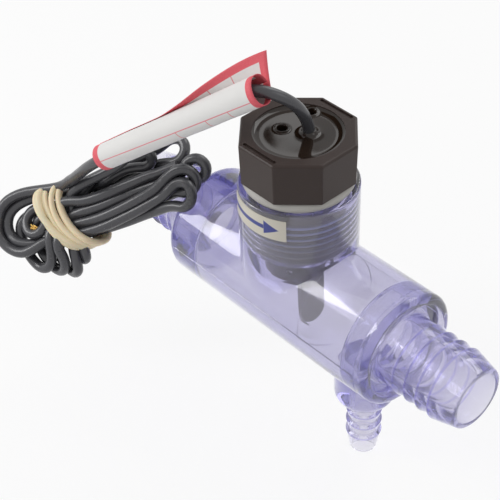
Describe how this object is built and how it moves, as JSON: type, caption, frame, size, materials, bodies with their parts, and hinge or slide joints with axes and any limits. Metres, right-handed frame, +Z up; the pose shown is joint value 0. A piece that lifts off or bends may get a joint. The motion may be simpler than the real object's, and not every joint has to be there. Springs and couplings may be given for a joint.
{
  "type": "paddle flow switch",
  "caption": "Clear tee with hose barbs at both ends and a drain barb below, a dark octagonal potted plug with a magnet paddle in its riser, and a banded cable hank.",
  "frame": {"origin": "where the run's axis crosses the riser's axis", "axes": "+X along the run the way the water flows, towards the outlet barb; +Z up the riser; -Z the way the drain barb points"},
  "size_m": [0.1652, 0.0718, 0.1348],
  "materials": {
    "clear_pvc": "clear rigid PVC with a violet-blue tint, glossy",
    "plug_plastic": "dark brown-black moulded plastic, satin",
    "seal_rubber": "light grey O-ring rubber",
    "potting_resin": "dark brown-black cast resin, glossy",
    "reed_glass": "green-tinted sealed glass",
    "reed_metal": "nickel-iron reed",
    "tinned_metal": "tinned splice barrel",
    "wire_insulation": "thin wire insulation",
    "magnet_metal": "plated magnet",
    "pin_steel": "stainless pin",
    "paddle_plastic": "dark grey-brown moulded plastic",
    "arrow_label_film": "off-white film with a plain blue arrow",
    "cable_jacket": "dark grey cable jacket, satin",
    "tag_paper": "white paper with a red border and thin red rules",
    "band_rubber": "cream latex rubber band"
  },
  "bodies": {
    "switch_body": {"tee_body": "clear_pvc", "outlet_cap": "clear_pvc", "switch_plug": "plug_plastic", "seal_ring": "seal_rubber", "potting": "potting_resin", "reed_glass": "reed_glass", "reed_blade_front": "reed_metal", "reed_blade_back": "reed_metal", "splice_front": "tinned_metal", "splice_back": "tinned_metal", "conductor_front": "wire_insulation", "conductor_back": "wire_insulation", "return_magnet": "magnet_metal", "pivot_pin": "pin_steel", "arrow_label": "arrow_label_film", "cable_lead": "cable_jacket", "paper_tag": "tag_paper", "cable_hank": "cable_jacket", "rubber_band": "band_rubber"},
    "paddle": {"paddle": "paddle_plastic", "paddle_magnet": "magnet_metal", "magnet_cover": "paddle_plastic"}
  },
  "joints": [
    {"name": "paddle_hinge", "type": "hinge", "parent": "switch_body", "child": "paddle", "pos_m": [0.0053, 0, 0.0126], "axis": [0, -1, 0], "range_deg": [0, 30], "stiffness_Nm_per_rad": 0.001, "springref_deg": -9.74}
  ]
}
